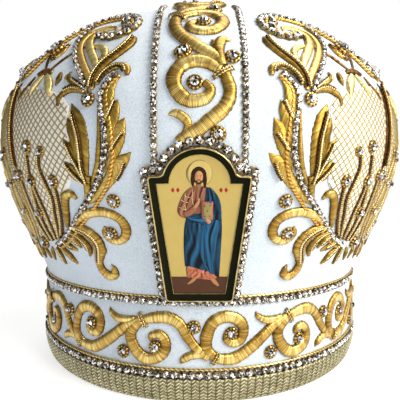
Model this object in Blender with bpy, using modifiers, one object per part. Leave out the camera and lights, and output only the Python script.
# Bishop mitre: a bulbous crown of stiffened white cloth sewn to an upright head band, with
# gold relief embroidery, cup chains of cut stones, and a framed plaque on each of four sides.
# Metres, +Z up. The rim stands on z = 0 about the origin and the front looks along -Y.

import bpy
import bmesh
import math
import numpy as np

# Driving dimensions of the cloth body
CROWN_HEIGHT = 0.1878       # rim to the cloth at the top of the dome
BAND_RADIUS = 0.0944        # outer face of the head band
WAIST_HEIGHT = 0.0425       # seam between the head band and the crown
BULGE_RADIUS = 0.1172       # widest outer radius of the crown
BULGE_HEIGHT = 0.114        # height of that widest place
DOME_FULLNESS = 2.15        # 2 is a plain ellipse, more is squarer at the shoulder
RIM_TUCK = 0.0024           # how far the bottom edge turns in
RIM_TUCK_HEIGHT = 0.011     # height over which it turns in
CLOTH_WALL = 0.003          # outer cloth, stiffening and inner cloth together
SEAM_GAP = 0.0003           # clearance between neighbouring pieces

# Driving dimensions of the trim
BRAID_HEIGHT = 0.0104
BRAID_THICKNESS = 0.0016
CHAIN_THICKNESS = 0.0026    # cup chain, across and over its stones
PANEL_HALF_WIDTH = 0.016    # centre line of a panel to its edge chain
RELIEF = 0.0014             # height of the padded gold embroidery
BAND_VINE_REPEATS = 9       # pairs of scrolls round the head band
BAND_SCROLL_RADIUS = 0.0066
BAND_VINE_WIDTH = 0.0042
PANEL_VINE_WIDTH = 0.0038
PANEL_SCROLL_RADIUS = 0.0080
PANEL_SCROLL_PITCH = 0.029  # from one scroll of a panel's vine to the next
SPRAY_HALF_WIDTH = 0.060    # corner embroidery, from its middle line to its outer leaf
SPRAY_HEIGHT = 0.122        # along the cloth, from the waist to its top curl
LEAF_WIDTH = 0.0090         # widest leaf of the corner embroidery

# Driving dimensions of a framed plaque
PLAQUE_FOOT = 0.0026        # along the cloth, from the waist to the frame's bottom edge
FRAME_HEIGHT = 0.0618
FRAME_FOOT_WIDTH = 0.0266
FRAME_SHOULDER_WIDTH = 0.0366
FRAME_SHOULDER_HEIGHT = 0.0518
FRAME_BORDER = 0.0032       # frame's face, from its outer edge to the picture
FRAME_DEPTH = 0.0032
PLAQUE_THICKNESS = 0.0016
ARCH_RADIUS = 0.0135
NOTCH_RADIUS = 0.0032       # hollow between a shoulder and the arch
NOTCH_SPREAD = 0.5          # how far the hollow's centre lies past the arch, in its own radius

# Driving dimensions of the top
BOSS_RADIUS = 0.0196
BOSS_THICKNESS = 0.0020
BOSS_SHOULDER = 0.7         # share of the boss's radius at which its face turns down

# Proportions of the scrolls, as shares of the sizes above
SCROLL_SWEEP = 290          # degrees that a scroll winds through
SCROLL_CLOSING = 0.6        # share of its radius that it loses by its tip
SCROLL_TAPER = 0.8          # width at its tip
SCROLL_RELIEF = 1.1         # a scroll stands this much higher than its stem
BAND_SCROLL_START = 100     # degrees, where a scroll leaves the band's wave
BAND_SCROLL_RISE = 0.15     # how far a scroll's centre lies from the middle line, in swings
PANEL_SCROLL_START = 20
PANEL_FIRST_CREST = 0.62    # from the vine's foot to its first crest, in pitches
PANEL_SCROLL_RISE = 0.07    # from a crest to the centre of its scroll, in pitches
STEM_POINTS = 4             # along one pitch of a panel's stem

# Facets
SIDES = 36                  # round the hat; the ring chains use the same corners
TOP_SIDES = 16
FLARE_ROWS = 3
DOME_ROWS = 7
WAVE_POINTS = 6             # along one period of the band's vine
SCROLL_POINTS = 6
CHAIN_STEP = 0.0135         # length of one straight bit of a chain's tube
COLUMN_POINTS = 4           # along each side column of a plaque's chain

SIDE_NAMES = {"front": 0, "right": 90, "back": 180, "left": 270}
CORNER_NAMES = {"front_right": 45, "back_right": 135, "back_left": 225, "front_left": 315}

for old_object in list(bpy.data.objects):
    bpy.data.objects.remove(old_object, do_unlink=True)

hat = bpy.data.collections.new("bishop_mitre")
bpy.context.scene.collection.children.link(hat)


def make_material(name, colour, metallic, roughness):
    material = bpy.data.materials.new(name)
    material.use_nodes = True
    shader = material.node_tree.nodes["Principled BSDF"]
    shader.inputs["Base Color"].default_value = (*colour, 1.0)
    shader.inputs["Metallic"].default_value = metallic
    shader.inputs["Roughness"].default_value = roughness
    return material


VELVET = make_material("white_velvet", (0.82, 0.85, 0.90), 0.0, 0.9)
BAND_VELVET = make_material("band_velvet", (0.80, 0.83, 0.88), 0.0, 0.9)
BRAID_METAL = make_material("woven_braid", (0.42, 0.38, 0.24), 0.6, 0.45)
GOLD_THREAD = make_material("gold_thread", (0.58, 0.38, 0.10), 0.8, 0.4)
STONES = make_material("cup_chain", (0.70, 0.68, 0.64), 0.7, 0.15)
FRAME_METAL = make_material("dark_frame", (0.05, 0.05, 0.02), 0.4, 0.3)
PLAQUE_GOLD = make_material("gilt_plaque", (0.70, 0.52, 0.20), 0.4, 0.35)
BOSS_METAL = make_material("gilt_boss", (0.60, 0.42, 0.14), 0.9, 0.3)


def add_object(name, data, material):
    piece = bpy.data.objects.new(name, data)
    piece.data.materials.append(material)
    hat.objects.link(piece)
    return piece


def evaluated_mesh(piece):
    graph = bpy.context.evaluated_depsgraph_get()
    return bpy.data.meshes.new_from_object(piece.evaluated_get(graph))


# The crown's outline as a formula: it flares from the waist to the bulge as t + t^2 - t^3 of
# the extra radius, and closes from the bulge to the top as a superellipse.
def crown_outline(flare_steps, dome_steps):
    flare_share = np.linspace(0.0, 1.0, flare_steps + 1)
    flare_radius = BAND_RADIUS + (BULGE_RADIUS - BAND_RADIUS) * (
        flare_share + flare_share**2 - flare_share**3)
    flare_height = WAIST_HEIGHT + (BULGE_HEIGHT - WAIST_HEIGHT) * flare_share
    turn = np.linspace(0.0, math.pi / 2, dome_steps + 1)[1:]
    dome_radius = BULGE_RADIUS * np.abs(np.cos(turn)) ** (2 / DOME_FULLNESS)
    dome_height = BULGE_HEIGHT + (CROWN_HEIGHT - BULGE_HEIGHT) * np.sin(turn) ** (2 / DOME_FULLNESS)
    radius = np.concatenate([flare_radius, dome_radius])
    radius[-1] = 0.0
    return radius, np.concatenate([flare_height, dome_height])


OUTLINE_RADIUS, OUTLINE_HEIGHT = crown_outline(300, 500)
OUTLINE_LENGTH = np.concatenate([[0.0], np.cumsum(np.hypot(
    np.diff(OUTLINE_RADIUS), np.diff(OUTLINE_HEIGHT)))])
CENTRE_HEIGHT = CROWN_HEIGHT / 2
OUTLINE_ANGLE = np.arctan2(OUTLINE_HEIGHT - CENTRE_HEIGHT, OUTLINE_RADIUS)
OUTLINE_REACH = np.hypot(OUTLINE_HEIGHT - CENTRE_HEIGHT, OUTLINE_RADIUS)
SLOPE_RADIUS = np.gradient(OUTLINE_RADIUS, OUTLINE_LENGTH)
SLOPE_HEIGHT = np.gradient(OUTLINE_HEIGHT, OUTLINE_LENGTH)


def outline_at(along):
    return (np.interp(along, OUTLINE_LENGTH, OUTLINE_RADIUS),
            np.interp(along, OUTLINE_LENGTH, OUTLINE_HEIGHT))


# A place in the embroidery pattern is (across, along): along runs up the middle line of a
# panel from the waist, and across leaves it at right angles. The pattern is wrapped on the
# crown from the centre of the dome, and lifted off the cloth along its normal.
def on_crown(azimuth, across, along, lift):
    across = np.asarray(across, float)
    along = np.asarray(along, float)
    line_angle = np.interp(along, OUTLINE_LENGTH, OUTLINE_ANGLE)
    side_angle = across / np.interp(line_angle, OUTLINE_ANGLE, OUTLINE_REACH)
    forward = np.cos(line_angle) * np.cos(side_angle)
    sideways = np.sin(side_angle)
    upward = np.sin(line_angle) * np.cos(side_angle)
    level = np.hypot(forward, sideways)
    angle = np.arctan2(upward, level)
    reach = np.interp(angle, OUTLINE_ANGLE, OUTLINE_REACH)
    normal_out = np.interp(angle, OUTLINE_ANGLE, SLOPE_HEIGHT)
    normal_up = -np.interp(angle, OUTLINE_ANGLE, SLOPE_RADIUS)
    level_safe = np.maximum(level, 1e-9)
    radius = reach * level + lift * normal_out
    x = radius * sideways / level_safe
    y = -radius * forward / level_safe
    z = CENTRE_HEIGHT + reach * upward + lift * normal_up
    turn = math.radians(azimuth)
    return np.stack([x * math.cos(turn) - y * math.sin(turn),
                     x * math.sin(turn) + y * math.cos(turn), z], axis=-1)


def band_radius_at(height):
    below = np.clip(1 - np.asarray(height, float) / RIM_TUCK_HEIGHT, 0.0, 1.0)
    return BAND_RADIUS - RIM_TUCK * below**2


# Here across is measured round the band from the given azimuth, and along is the height.
def on_band(azimuth, across, along, lift):
    turn = math.radians(azimuth) + np.asarray(across, float) / BAND_RADIUS
    radius = band_radius_at(along) + lift
    return np.stack([radius * np.sin(turn), -radius * np.cos(turn),
                     np.broadcast_to(along, turn.shape)], axis=-1)


# A turned piece: the profile at +X runs down its outer side and is swept round the axis.
def turned(name, profile, closed, material, steps=SIDES):
    count = len(profile)
    edges = [(i, i + 1) for i in range(count - 1)]
    if closed:
        edges.append((count - 1, 0))
    mesh = bpy.data.meshes.new(name)
    mesh.from_pydata([(radius, 0.0, height) for radius, height in profile], edges, [])
    piece = add_object(name, mesh, material)
    screw = piece.modifiers.new("Turn", "SCREW")
    screw.axis = "Z"
    screw.steps = steps
    screw.render_steps = steps
    screw.use_merge_vertices = True
    screw.merge_threshold = 0.00005
    screw.use_smooth_shade = True
    return piece


# A chain is stored as a tube along the middle of its stones.
def chain_tube(name, points, cyclic=False):
    curve = bpy.data.curves.new(name, "CURVE")
    curve.dimensions = "3D"
    spline = curve.splines.new("POLY")
    spline.points.add(len(points) - 1)
    for spline_point, place in zip(spline.points, points):
        spline_point.co = (*place, 1.0)
    spline.use_cyclic_u = cyclic
    curve.bevel_depth = CHAIN_THICKNESS / 2
    curve.bevel_resolution = 2
    curve.use_fill_caps = True
    return add_object(name, curve, STONES)


def ring_points(radius, height, sides):
    turns = np.arange(sides) * 2 * math.pi / sides
    return np.stack([radius * np.cos(turns), radius * np.sin(turns),
                     np.full(sides, height)], axis=-1)


def chord_sag(length, radius):
    return length**2 / (8 * radius)


# A smooth curve through a few chosen points, read at even steps.
def smooth_path(points, count):
    points = np.asarray(points, float)
    padded = np.vstack([2 * points[0] - points[1], points, 2 * points[-1] - points[-2]])
    place = np.linspace(0, len(points) - 1 - 1e-9, count)
    index = place.astype(int)
    t = (place - index)[:, None]
    before, start, end, after = (padded[index + k] for k in range(4))
    return 0.5 * (2 * start + (end - before) * t + (2 * before - 5 * start + 4 * end - after) * t**2
                  + (3 * start - before - 3 * end + after) * t**3)


# One strand of relief embroidery: a roof-shaped strip along a path in the pattern, with two
# foot edges near the cloth and a ridge over the middle.
def ribbon(name, wrap, path, widths, foot_lift, height, cyclic=False):
    path = np.asarray(path, float)
    if cyclic:
        heading = np.roll(path, -1, axis=0) - np.roll(path, 1, axis=0)
        heading[0, 0] = heading[1, 0]
        heading[-1, 0] = heading[-2, 0]
    else:
        heading = np.gradient(path, axis=0)
    heading /= np.linalg.norm(heading, axis=1)[:, None]
    side = np.stack([-heading[:, 1], heading[:, 0]], axis=1)
    half = np.asarray(widths, float)[:, None] / 2
    left = path + side * half
    right = path - side * half
    count = len(path)
    rows = np.stack([wrap(left[:, 0], left[:, 1], foot_lift),
                     wrap(path[:, 0], path[:, 1], foot_lift + height),
                     wrap(right[:, 0], right[:, 1], foot_lift)], axis=1)
    faces = []
    for i in range(count if cyclic else count - 1):
        here = 3 * i
        there = 3 * ((i + 1) % count)
        for k in range(3):
            after = (k + 1) % 3
            faces.append((here + k, here + after, there + after, there + k))
    if not cyclic:
        faces.append((2, 1, 0))
        last = 3 * (count - 1)
        faces.append((last, last + 1, last + 2))
    mesh = bpy.data.meshes.new(name)
    mesh.from_pydata(rows.reshape(-1, 3).tolist(), [], faces)
    work = bmesh.new()
    work.from_mesh(mesh)
    bmesh.ops.recalc_face_normals(work, faces=work.faces)
    work.to_mesh(mesh)
    work.free()
    return add_object(name, mesh, GOLD_THREAD)


# Overlapping strands become one body.
def fused_mesh(strands):
    base = strands[0]
    for strand in strands[1:]:
        union = base.modifiers.new("Join", "BOOLEAN")
        union.operation = "UNION"
        union.solver = "EXACT"
        union.object = strand
    mesh = evaluated_mesh(base)
    for strand in strands:
        bpy.data.objects.remove(strand, do_unlink=True)
    return mesh


def place_copies(prefix, mesh, names, first_azimuth, material):
    for side_name, azimuth in names.items():
        copy = bpy.data.objects.new(prefix + "_" + side_name, mesh)
        if not mesh.materials:
            mesh.materials.append(material)
        copy.rotation_euler = (0, 0, math.radians(azimuth - first_azimuth))
        hat.objects.link(copy)


# Cloth body
def build_crown():
    radius, height = crown_outline(FLARE_ROWS, DOME_ROWS)
    height[0] += SEAM_GAP / 2
    crown = turned("crown_shell", list(zip(radius[::-1], height[::-1])), False, VELVET)
    wall = crown.modifiers.new("Wall", "SOLIDIFY")
    wall.thickness = CLOTH_WALL
    wall.offset = -1
    wall.use_even_offset = True


def band_profile(top, offset, thickness):
    levels = [level for level in (RIM_TUCK_HEIGHT, RIM_TUCK_HEIGHT / 2) if level < top - SEAM_GAP]
    heights = np.array([top, *levels, 0.0])
    outer = band_radius_at(heights) + offset
    inner = outer - thickness
    return list(zip(outer, heights)) + list(zip(inner[::-1], heights[::-1]))


def build_band():
    turned("head_band", band_profile(WAIST_HEIGHT - SEAM_GAP / 2, 0.0, CLOTH_WALL), True, BAND_VELVET)
    turned("hem_braid", band_profile(BRAID_HEIGHT, SEAM_GAP + BRAID_THICKNESS, BRAID_THICKNESS),
           True, BRAID_METAL)


WAIST_CHAIN_HEIGHT = WAIST_HEIGHT - CHAIN_THICKNESS / 3
HEM_CHAIN_HEIGHT = BRAID_HEIGHT + SEAM_GAP + CHAIN_THICKNESS / 2
CHAIN_SEAT = SEAM_GAP + CHAIN_THICKNESS / 2 + chord_sag(CHAIN_STEP, BAND_RADIUS)


def build_ring_chains():
    chain_tube("waist_chain", ring_points(BAND_RADIUS + CHAIN_SEAT, WAIST_CHAIN_HEIGHT, SIDES), True)
    chain_tube("hem_chain", ring_points(BAND_RADIUS + CHAIN_SEAT, HEM_CHAIN_HEIGHT, SIDES), True)


TOP_CHAIN_RADIUS = BOSS_RADIUS + CHAIN_THICKNESS / 2 + 2 * SEAM_GAP


def top_height(radius):
    return float(np.interp(radius, OUTLINE_RADIUS[::-1], OUTLINE_HEIGHT[::-1]))


def build_top():
    edge = top_height(BOSS_RADIUS)
    shoulder_radius = BOSS_RADIUS * BOSS_SHOULDER
    shoulder_height = top_height(shoulder_radius)
    profile = [(0.0, CROWN_HEIGHT + SEAM_GAP + BOSS_THICKNESS),
               (shoulder_radius, shoulder_height + SEAM_GAP + BOSS_THICKNESS),
               (BOSS_RADIUS, edge + SEAM_GAP + BOSS_THICKNESS / 2),
               (BOSS_RADIUS, CROWN_HEIGHT + SEAM_GAP),
               (0.0, CROWN_HEIGHT + SEAM_GAP)]
    turned("top_boss", profile, False, BOSS_METAL, TOP_SIDES)
    chain_tube("top_chain", ring_points(
        TOP_CHAIN_RADIUS, edge + SEAM_GAP + CHAIN_THICKNESS / 2, TOP_SIDES), True)


# The frame's outline: a foot, sides that open upwards, square shoulders, a hollow notch and
# an arch. A positive inset moves it in towards the picture, a negative one out.
def frame_outline(inset, notch_points=2, arch_points=5):
    foot_half = FRAME_FOOT_WIDTH / 2 - inset
    shoulder_half = FRAME_SHOULDER_WIDTH / 2 - inset
    shoulder_top = FRAME_SHOULDER_HEIGHT - inset
    arch_radius = ARCH_RADIUS - inset
    arch_centre = FRAME_HEIGHT - ARCH_RADIUS
    notch_radius = NOTCH_RADIUS + inset
    notch_x = ARCH_RADIUS + NOTCH_RADIUS * NOTCH_SPREAD
    notch_y = FRAME_SHOULDER_HEIGHT + NOTCH_RADIUS
    half = [(foot_half, inset), (shoulder_half, shoulder_top)]
    gap_angle = math.atan2(arch_centre - notch_y, -notch_x)
    distance = math.hypot(notch_x, notch_y - arch_centre)
    reach = (distance**2 + notch_radius**2 - arch_radius**2) / (2 * distance * notch_radius)
    meet = gap_angle % (2 * math.pi) + math.acos(max(-1.0, min(1.0, reach)))
    for turn in np.linspace(1.5 * math.pi, min(meet, 1.5 * math.pi), notch_points):
        half.append((notch_x + notch_radius * math.cos(turn), notch_y + notch_radius * math.sin(turn)))
    start = math.atan2(half[-1][1] - arch_centre, half[-1][0])
    for turn in np.linspace(start, math.pi / 2, arch_points)[1:-1]:
        half.append((arch_radius * math.cos(turn), arch_centre + arch_radius * math.sin(turn)))
    crest = [(0.0, arch_centre + arch_radius)]
    return half + crest + [(-x, y) for x, y in reversed(half)]


# A flat plaque bridges the curved cloth: its back plane touches the cloth where it swells most.
def plaque_plane():
    foot_radius, foot_height = outline_at(PLAQUE_FOOT)
    head_radius, head_height = outline_at(PLAQUE_FOOT + FRAME_HEIGHT)
    lean = math.atan2(head_radius - foot_radius, head_height - foot_height)
    radius, height = outline_at(np.linspace(PLAQUE_FOOT, PLAQUE_FOOT + FRAME_HEIGHT, 30))
    swell = np.max((radius - foot_radius) * math.cos(lean) - (height - foot_height) * math.sin(lean))
    return foot_radius, foot_height, lean, float(swell) + SEAM_GAP


def flat_plate(name, outlines, depth, back_offset, material, azimuth):
    foot_radius, foot_height, lean, clearance = plaque_plane()
    curve = bpy.data.curves.new(name, "CURVE")
    curve.dimensions = "2D"
    curve.fill_mode = "BOTH"
    curve.extrude = depth / 2
    for outline in outlines:
        spline = curve.splines.new("POLY")
        spline.points.add(len(outline) - 1)
        for spline_point, (x, y) in zip(spline.points, outline):
            spline_point.co = (x, y, 0.0, 1.0)
        spline.use_cyclic_u = True
    plate = add_object(name, curve, material)
    lift = clearance + back_offset + depth / 2
    radius = foot_radius + lift * math.cos(lean)
    height = foot_height - lift * math.sin(lean)
    turn = math.radians(azimuth)
    plate.location = (radius * math.sin(turn), -radius * math.cos(turn), height)
    plate.rotation_euler = (math.pi / 2 + lean, 0.0, turn)
    return plate


FRAME_CHAIN_OFFSET = CHAIN_THICKNESS / 2 + 2 * SEAM_GAP


def frame_chain_path():
    outline = np.array(frame_outline(-FRAME_CHAIN_OFFSET, 2, 3))
    foot = FRAME_CHAIN_OFFSET + CHAIN_THICKNESS / 2
    outline[[0, -1], 1] = foot
    lower, upper = outline[0], outline[1]
    column = [lower + (upper - lower) * share for share in np.linspace(0, 1, COLUMN_POINTS + 1)[:-1]]
    left_column = [point * np.array([-1, 1]) for point in column[::-1]]
    path = np.array(column + list(outline[1:-1]) + left_column)
    path[:, 1] += PLAQUE_FOOT
    return path


def build_plaques():
    path = frame_chain_path()
    for side_name, azimuth in SIDE_NAMES.items():
        flat_plate("plaque_frame_" + side_name,
                   [frame_outline(0.0), frame_outline(FRAME_BORDER)],
                   FRAME_DEPTH, 0.0, FRAME_METAL, azimuth)
        flat_plate("plaque_" + side_name, [frame_outline(FRAME_BORDER + SEAM_GAP)],
                   PLAQUE_THICKNESS, 0.0, PLAQUE_GOLD, azimuth)
        chain_tube("plaque_chain_" + side_name,
                   on_crown(azimuth, path[:, 0], path[:, 1], CHAIN_SEAT))


EDGE_CHAIN_FOOT = (PLAQUE_FOOT + FRAME_SHOULDER_HEIGHT + FRAME_CHAIN_OFFSET
                   + CHAIN_THICKNESS + 2 * SEAM_GAP)


def build_edge_chains():
    stop_radius = TOP_CHAIN_RADIUS + CHAIN_THICKNESS + SEAM_GAP
    sample = np.linspace(EDGE_CHAIN_FOOT, OUTLINE_LENGTH[-1], 600)
    ends = on_crown(0, np.full(600, PANEL_HALF_WIDTH), sample, CHAIN_SEAT)
    from_axis = np.hypot(ends[:, 0], ends[:, 1])
    head = sample[np.argmax(from_axis < stop_radius) - 1]
    count = max(4, round((head - EDGE_CHAIN_FOOT) / CHAIN_STEP))
    along = np.linspace(EDGE_CHAIN_FOOT, head, count + 1)
    for side_name, azimuth in SIDE_NAMES.items():
        for hand, across in (("left", -PANEL_HALF_WIDTH), ("right", PANEL_HALF_WIDTH)):
            points = on_crown(azimuth, np.full(count + 1, across), along, CHAIN_SEAT)
            chain_tube("edge_chain_" + side_name + "_" + hand, points)


# A scroll leaves its stem at first_radius from its own centre, draws in quickly to radius,
# and then winds inwards until it has lost its closing share.
def scroll_path(centre, first_radius, radius, start_degrees, sweep_degrees):
    share = np.linspace(0.0, 1.0, SCROLL_POINTS)
    turn = np.radians(start_degrees + sweep_degrees * share)
    size = radius * (1 - SCROLL_CLOSING * share**1.5) + (first_radius - radius) * (1 - share)**3
    return np.stack([centre[0] + size * np.cos(turn), centre[1] + size * np.sin(turn)], axis=1)


FOOT_LIFT = SEAM_GAP * 1.3
FOOT_STEP = SEAM_GAP / 8    # each strand of a fused piece stands this much higher on its foot


# A wave runs round the band, and a scroll curls into each of its hollows.
def build_band_vine():
    pitch = 2 * math.pi * BAND_RADIUS / BAND_VINE_REPEATS
    vine_bottom = HEM_CHAIN_HEIGHT + CHAIN_THICKNESS
    vine_top = WAIST_CHAIN_HEIGHT - CHAIN_THICKNESS
    middle = (vine_bottom + vine_top) / 2
    swing = (vine_top - vine_bottom - BAND_VINE_WIDTH) / 2 - 2 * SEAM_GAP

    def wrap(across, along, lift):
        return on_band(0, across, along, lift)

    count = WAVE_POINTS * BAND_VINE_REPEATS
    across = np.arange(count) * pitch / WAVE_POINTS
    wave = np.stack([across, middle - swing * np.cos(2 * math.pi * across / pitch)], axis=1)
    strands = [ribbon("wave", wrap, wave, np.full(count, BAND_VINE_WIDTH), FOOT_LIFT, RELIEF, True)]
    widths = BAND_VINE_WIDTH * np.linspace(1.0, SCROLL_TAPER, SCROLL_POINTS)
    rise = swing * BAND_SCROLL_RISE
    scrolls = []
    for k in range(BAND_VINE_REPEATS):
        low = (k * pitch, middle + rise)
        high = ((k + 0.5) * pitch, middle - rise)
        for hand, centre in ((-1, low), (1, high)):
            scrolls.append(scroll_path(centre, swing + rise, BAND_SCROLL_RADIUS,
                                       hand * BAND_SCROLL_START, hand * SCROLL_SWEEP))
    for path in scrolls:
        strands.append(ribbon("scroll", wrap, path, widths, FOOT_LIFT + FOOT_STEP, RELIEF * SCROLL_RELIEF))
    add_object("band_vine", fused_mesh(strands), GOLD_THREAD)


# A panel's vine climbs from above the plaque to the top chain, a scroll on each side in turn.
def build_panel_vines():
    def wrap(across, along, lift):
        return on_crown(0, across, along, lift)

    foot = (PLAQUE_FOOT + FRAME_HEIGHT + FRAME_CHAIN_OFFSET + CHAIN_THICKNESS / 2
            + PANEL_VINE_WIDTH / 2 + SEAM_GAP)
    head = OUTLINE_LENGTH[-1] - TOP_CHAIN_RADIUS - CHAIN_THICKNESS - PANEL_VINE_WIDTH
    swing = PANEL_HALF_WIDTH - CHAIN_THICKNESS - PANEL_VINE_WIDTH / 2 - 4 * SEAM_GAP
    count = round(STEM_POINTS * (head - foot) / PANEL_SCROLL_PITCH) + 1
    along = np.linspace(foot, head, count)
    first_crest = foot + PANEL_FIRST_CREST * PANEL_SCROLL_PITCH
    wave = np.stack([swing * np.cos(math.pi * (along - first_crest) / PANEL_SCROLL_PITCH), along],
                    axis=1)
    strands = [ribbon("stem", wrap, wave, np.full(count, PANEL_VINE_WIDTH), FOOT_LIFT, RELIEF)]
    widths = PANEL_VINE_WIDTH * np.linspace(1.0, SCROLL_TAPER, SCROLL_POINTS)
    scroll = scroll_path((0.0, 0.0), swing, PANEL_SCROLL_RADIUS, PANEL_SCROLL_START, SCROLL_SWEEP)
    for k in range(int((head - first_crest) / PANEL_SCROLL_PITCH)):
        hand = 1 if k % 2 == 0 else -1
        centre = first_crest + (k + PANEL_SCROLL_RISE) * PANEL_SCROLL_PITCH
        path = scroll * np.array([hand, 1]) + np.array([0.0, centre])
        strands.append(ribbon("scroll", wrap, path, widths, FOOT_LIFT + FOOT_STEP, RELIEF * SCROLL_RELIEF))
    place_copies("panel_vine", fused_mesh(strands), SIDE_NAMES, 0, GOLD_THREAD)


# Strands of the corner embroidery, right half. Each row holds the place across (share of
# SPRAY_HALF_WIDTH), the place along (share of SPRAY_HEIGHT) and the width (share of LEAF_WIDTH).
SPRAY_STRANDS = {
    "outer_leaf": (8, [(-0.05, 0.18, 0.45), (0.20, 0.19, 0.45), (0.48, 0.25, 0.50),
                       (0.72, 0.35, 0.70), (0.89, 0.46, 0.95), (0.98, 0.58, 1.00),
                       (0.97, 0.70, 0.80), (0.98, 0.78, 0.25)]),
    "low_scroll": (6, [(0.60, 0.29, 0.35), (0.77, 0.31, 0.45), (0.89, 0.27, 0.45),
                       (0.88, 0.21, 0.42), (0.79, 0.19, 0.40), (0.74, 0.22, 0.35)]),
    "low_leaf": (5, [(0.42, 0.24, 0.50), (0.60, 0.22, 0.72), (0.63, 0.15, 0.65),
                     (0.59, 0.09, 0.50), (0.64, 0.05, 0.48), (0.69, 0.08, 0.35)]),
    "inner_leaf": (4, [(0.66, 0.34, 0.35), (0.73, 0.49, 0.90), (0.75, 0.59, 0.80),
                       (0.71, 0.68, 0.20)]),
    "upper_leaf": (7, [(0.95, 0.69, 0.35), (0.82, 0.75, 0.45), (0.66, 0.86, 0.55),
                       (0.58, 0.96, 0.55), (0.68, 1.04, 0.50), (0.85, 1.05, 0.50),
                       (0.92, 0.98, 0.42), (0.80, 0.94, 0.35)]),
}


def build_corner_sprays():
    def wrap(across, along, lift):
        return on_crown(45, across, along, lift)

    strands = []
    for count, table in SPRAY_STRANDS.values():
        rows = smooth_path(table, count)
        for hand in (1, -1):
            path = np.stack([hand * rows[:, 0] * SPRAY_HALF_WIDTH, rows[:, 1] * SPRAY_HEIGHT], axis=1)
            lift = FOOT_LIFT + FOOT_STEP * len(strands)
            strands.append(ribbon("strand", wrap, path, rows[:, 2] * LEAF_WIDTH, lift, RELIEF))
    place_copies("corner_spray", fused_mesh(strands), CORNER_NAMES, 45, GOLD_THREAD)


build_crown()
build_band()
build_ring_chains()
build_top()
build_plaques()
build_edge_chains()
build_band_vine()
build_panel_vines()
build_corner_sprays()
